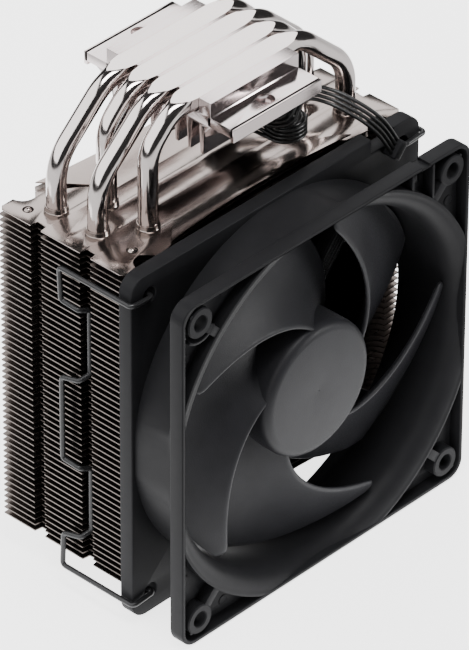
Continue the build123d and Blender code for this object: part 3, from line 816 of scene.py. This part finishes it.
# boss round each corner hole, a web on either side of it along the diagonal, and two round pads
boss_profile = [(front_y + 0.35, hole_r), (front_y + 0.05, hole_r + 0.3), (front_y + 0.05, boss_r - 0.35)]
boss_profile += [(front_y + 0.4, boss_r), (front_y + flange, boss_r), (front_y + flange, hole_r)]
boss_at = sqrt(2) * hole_at
web_mid_y = front_y + 2.5
web_depth = 4.4
webs = ((mouth_r + 0.6, boss_at - boss_r + 0.6, 3.0), (boss_at + boss_r - 0.5, 79.6, 1.2))
pad_at = 67.4
pad_r = 1.65
pad_swing = 9.5
for cx, cz in corners:
    frame_shape.lathe(boss_profile, 48, (cx, cz))
    turn_angle = atan2(cz, cx)
    turn_y = Matrix.Rotation(-turn_angle, 3, "Y")
    for near, far, width in webs:
        middle = (near + far) / 2
        centre = fan_point(middle * cos(turn_angle), web_mid_y, middle * sin(turn_angle))
        frame_shape.block(centre, (far - near, web_depth, width), 0.2, turn_y)
    for swing in (-pad_swing, pad_swing):
        a = turn_angle + radians(swing)
        spot = (pad_at * cos(a), pad_at * sin(a))
        frame_shape.slab([circle(pad_r, 28, spot)], 0.5, 0.1, facing(front_y + flange - pocket_floor), 1)

# half-open collar round the upper left boss, and the cells beside the cable notch
collar_outer_r, collar_inner_r = 7.0, 6.2
for start, end in ((100, 205), (230, 330)):
    outer = circle(collar_outer_r, 16, (-hole_at, hole_at), start, end)
    inner = circle(collar_inner_r, 16, (-hole_at, hole_at), start, end)[::-1]
    frame_shape.slab([outer + inner], 4.2, 0.15, facing(front_y + 2.4), 1)
cell_walls = (35.8, 44.5)
for x in cell_walls:
    top = inner_half + 0.2
    low = sqrt((mouth_r + 0.4) ** 2 - x * x)
    frame_shape.block(fan_point(x, web_mid_y, (low + top) / 2), (1.0, web_depth, top - low), 0.15)

# outlet side: motor plate, four struts and the bearing tube
strut_angle = 49.0
motor_r = 22.3
tube_outer, tube_inner = 4.5, 3.5
plate_front, plate_rear = 9.5, half_fan_depth - 0.1
motor_profile = [(plate_front, 0.2), (plate_front, motor_r - 1.0), (plate_front + 0.5, motor_r - 0.4)]
motor_profile += [(plate_rear - 0.5, motor_r), (plate_rear, motor_r - 0.5), (plate_rear, motor_r - 1.6)]
motor_profile += [(plate_rear - 0.5, motor_r - 2.0), (plate_rear - 0.5, 0.2)]
frame_shape.lathe(motor_profile, 96)
# the first strut is a channel for the wires: two thin walls and a floor
strut_middle = 40.0
strut_length = 38.0
for k in range(4):
    a = radians(strut_angle + 90 * k)
    strut_turn = Matrix.Rotation(-a, 3, "Y")
    middle_x, middle_z = strut_middle * cos(a), strut_middle * sin(a)
    for offset in ((-2.9, 2.9) if k == 0 else (0.0,)):
        width = 1.3 if k == 0 else 7.0
        centre = fan_point(middle_x - offset * sin(a), 10.35, middle_z + offset * cos(a))
        frame_shape.block(centre, (strut_length, 4.1, width), 0.4, strut_turn)
    if k == 0:
        frame_shape.block(fan_point(middle_x, 11.0, middle_z), (strut_length, 2.6, 6.4), 0.3, strut_turn)
tube = [(-4.0, tube_inner), (-4.0, tube_outer), (9.6, tube_outer), (9.6, tube_inner)]
frame_shape.lathe(tube, 48)
frame_shape.finish("fan_shell", COOLER, "frame_plastic", ["fan_frame"], sharp=30)

# lead guide: a rounded block at the outlet flange's corner
guide = Shape()
guide_centre = (guide_low + guide_high) / 2
guide_turn = Matrix.Rotation(-radians(strut_angle), 3, "Y")
guide.block(guide_centre, (6.1, 6.0, 3.2), 0.7, guide_turn, 3)
guide.finish("guide", COOLER, "frame_plastic", ["lead_guide"], sharp=30)

# ---- impeller ----
hub_r = 22.0
hub_front = -9.5
hub_rear = 5.5
hub_edge = 3.0
blade_count = 5
blade_root_r = 21.1
blade_tip_r = 56.2
blade_first = 94.0
blade_sweep = 64.0
blade_chord = 62.0
blade_front, blade_rear = -8.0, 6.2
blade_mid = 1.5
blade_stations = 26
hub_wall = 1.6


def blade_point(u, s, turned):
    """Middle surface of a blade: u from hub to tip, s from leading to trailing edge."""
    radius = blade_root_r + u * (blade_tip_r - blade_root_r)
    swept = blade_sweep * (1.43 * u - 0.43 * u * u)
    a = radians(blade_first + swept - s * (blade_chord + 6.0 * u) + turned)
    depth = blade_front + (blade_rear - blade_front) * (s + 0.16 * sin(pi * s))
    return fan_point(radius * cos(a), depth, radius * sin(a))


def blade_loop(u, turned, steps=30):
    """Closed section of a blade at u, its edges rounded."""
    tip = max(0.0, (u - 0.86) / 0.14)
    first = 0.075 * tip ** 2.4
    last = 1 - 0.03 * tip ** 2.4
    front, back = [], []
    for j in range(steps + 1):
        t = (1 - cos(pi * j / steps)) / 2
        s = first + (last - first) * t
        here = blade_point(u, s, turned)
        du = blade_point(min(u + 0.01, 1.0), s, turned) - blade_point(max(u - 0.01, 0.0), s, turned)
        ds = blade_point(u, s + 0.01, turned) - blade_point(u, s - 0.01, turned)
        normal = ds.cross(du).normalized()
        lead = min(1.0, t / 0.03)
        trail = min(1.0, (1 - t) / 0.03)
        rounding = sqrt(1 - (1 - lead) ** 2) * sqrt(1 - (1 - trail) ** 2)
        half = max(blade_mid / 2 * (1 - 0.35 * t) * rounding, 0.02)
        front.append(here + normal * half)
        back.append(here - normal * half)
    return front + back[::-1]


impeller = Shape()
hub = [(hub_front + 1.5, 4.0), (hub_front + 0.1, 0.15), (hub_front, 3.0), (hub_front, hub_r - hub_edge)]
for i in range(1, 7):
    a = radians(15 * i)
    hub.append((hub_front + hub_edge * (1 - cos(a)), hub_r - hub_edge * (1 - sin(a))))
hub += [(hub_rear - 0.3, hub_r), (hub_rear, hub_r - 0.3)]
hub += [(hub_rear, hub_r - hub_wall), (hub_front + 1.5, hub_r - hub_wall)]
impeller.lathe(hub, 160)
for k in range(blade_count):
    turned = -360.0 / blade_count * k
    impeller.rings([blade_loop(i / blade_stations, turned) for i in range(blade_stations + 1)])
impeller.finish("fan_wheel", ROTOR, "impeller_plastic", ["impeller"], sharp=38)

# ---- clips ----
clip_wire_r = 0.8
clip_bend_r = 1.3
hook_y, arm_y = fan_mid_y + 10.5, fan_mid_y + 6.4
side_x = 61.0
notch_x = 56.35
# upper half of a clip: hook, arm along the side, and the stretch that rests in the fins' notch
upper_half = [
    (hole_at, hook_y, hole_at),
    (hole_at, arm_y, hole_at),
    (side_x, arm_y, 53.0),
    (side_x, -2.4, 53.0),
    (side_x - 0.4, -2.6, 41.6),
    (side_x - 1.2, -8.8, 40.4),
    (notch_x, -notch_y, 39.2),
    (notch_x, -notch_y, 16.8),
    (side_x - 1.2, -8.8, 15.6),
    (side_x - 0.4, -2.6, 14.4),
]
lower_half = [(x, y, -z) for x, y, z in reversed(upper_half)]
for word, side in (("left", -1), ("right", 1)):
    route = [(side * x, y, fan_axis_z + z) for x, y, z in upper_half + lower_half]
    clip = Shape()
    clip.tube(rounded_path(route, clip_bend_r, 7), clip_wire_r)
    clip.finish(f"clip_{word}_wire", f"{word}_clip", "clip_steel", [f"clip_{word}"], sharp=60)

# ---- connector ----
connector = Shape()
rail_height = 0.7
housing_middle = (housing_low + housing_high) / 2
housing_size = housing_high - housing_low
connector.block(housing_middle, tuple(housing_size - Vector((0, 0, rail_height))), 0.3)
for x in (-contact_pitch, contact_pitch):
    centre = Vector((connector_mid_x + x, housing_middle.y, housing_high.z - 0.4))
    connector.block(centre, (1.0, housing_size.y - 0.2, rail_height), 0.15)
plug = connector.finish("plug_housing", COOLER, "connector_plastic", ["connector_housing"])

# ---- floor and light ----
floor_half = 6.0
floor_z = cad_box[0].z - 0.0005
floor_mesh = bpy.data.meshes.new("floor")
quarters = ((-1, -1), (1, -1), (1, 1), (-1, 1))
floor_mesh.from_pydata([(x * floor_half, y * floor_half, floor_z) for x, y in quarters], [], [(0, 1, 2, 3)])
floor = bpy.data.objects.new("floor", floor_mesh)
bpy.context.scene.collection.objects.link(floor)
glowing_floor_paper = node_material("glowing_floor_paper", (0.62, 0.62, 0.62), 0, 0.75, 60, 0.05, 0.01)
paper = glowing_floor_paper.node_tree
paper_shader = paper.nodes["Principled BSDF"]
# painted pool of light: the floor's white emission, masked below to a patch round the object
paper_shader.inputs["Emission Color"].default_value = (1, 1, 1, 1)
spot = paper.nodes.new("ShaderNodeTexCoord")
turned = paper.nodes.new("ShaderNodeMapping")
turned.inputs["Rotation"].default_value = (0, 0, camera_yaw)
paper.links.new(spot.outputs["Object"], turned.inputs["Vector"])
parts = paper.nodes.new("ShaderNodeSeparateXYZ")
paper.links.new(turned.outputs["Vector"], parts.inputs["Vector"])
# painted pool of light: the floor glows by its own emission around the object and fades out in metres from
# it, so the metal keeps dark reflections
floor_glow = 2.7
glow_edges = (("X", -0.34, -0.16), ("X", 0.17, 0.115), ("Y", -0.15, -0.09), ("Y", 0.50, 0.32))
glow = None
for axis, dark_at, bright_at in glow_edges:
    fade = paper.nodes.new("ShaderNodeMapRange")
    fade.interpolation_type = "SMOOTHSTEP"
    fade.inputs["From Min"].default_value = min(dark_at, bright_at)
    fade.inputs["From Max"].default_value = max(dark_at, bright_at)
    fade.inputs["To Min"].default_value = 0.0 if dark_at < bright_at else 1.0
    fade.inputs["To Max"].default_value = 1.0 if dark_at < bright_at else 0.0
    paper.links.new(parts.outputs[axis], fade.inputs["Value"])
    product = paper.nodes.new("ShaderNodeMath")
    product.operation = "MULTIPLY"
    paper.links.new(fade.outputs["Result"], product.inputs[0])
    if glow is None:
        product.inputs[1].default_value = floor_glow
    else:
        paper.links.new(glow, product.inputs[1])
    glow = product.outputs["Value"]
paper.links.new(glow, paper_shader.inputs["Emission Strength"])
floor_mesh.materials.append(glowing_floor_paper)


def softbox(name, place, size, power, aim=(0, 0, -0.08)):
    """A rectangular soft light that faces the object."""
    data = bpy.data.lights.new(name, "AREA")
    data.shape = "RECTANGLE"
    data.size, data.size_y = size
    data.energy = power
    light = bpy.data.objects.new(name, data)
    light.location = place
    light.rotation_mode = "QUATERNION"
    light.rotation_quaternion = (Vector(aim) - Vector(place)).to_track_quat("-Z", "Y")
    bpy.context.scene.collection.objects.link(light)


softbox("left_light", (-1.14, 0.53, 1.0), (3.8, 1.9), 75)
softbox("top_light", (-0.1, -0.4, 1.9), (0.8, 0.8), 44)
softbox("back_light", (1.3, 1.3, 1.3), (1.5, 1.1), 20)
softbox("front_right_light", (1.1, -1.45, 0.42), (0.65, 0.5), 26)
world = bpy.data.worlds.new("studio")
world.use_nodes = True
bpy.context.scene.world = world
backdrop = world.node_tree.nodes["Background"]
backdrop.inputs["Color"].default_value = (0.9, 0.9, 0.92, 1)
backdrop.inputs["Strength"].default_value = 0.05
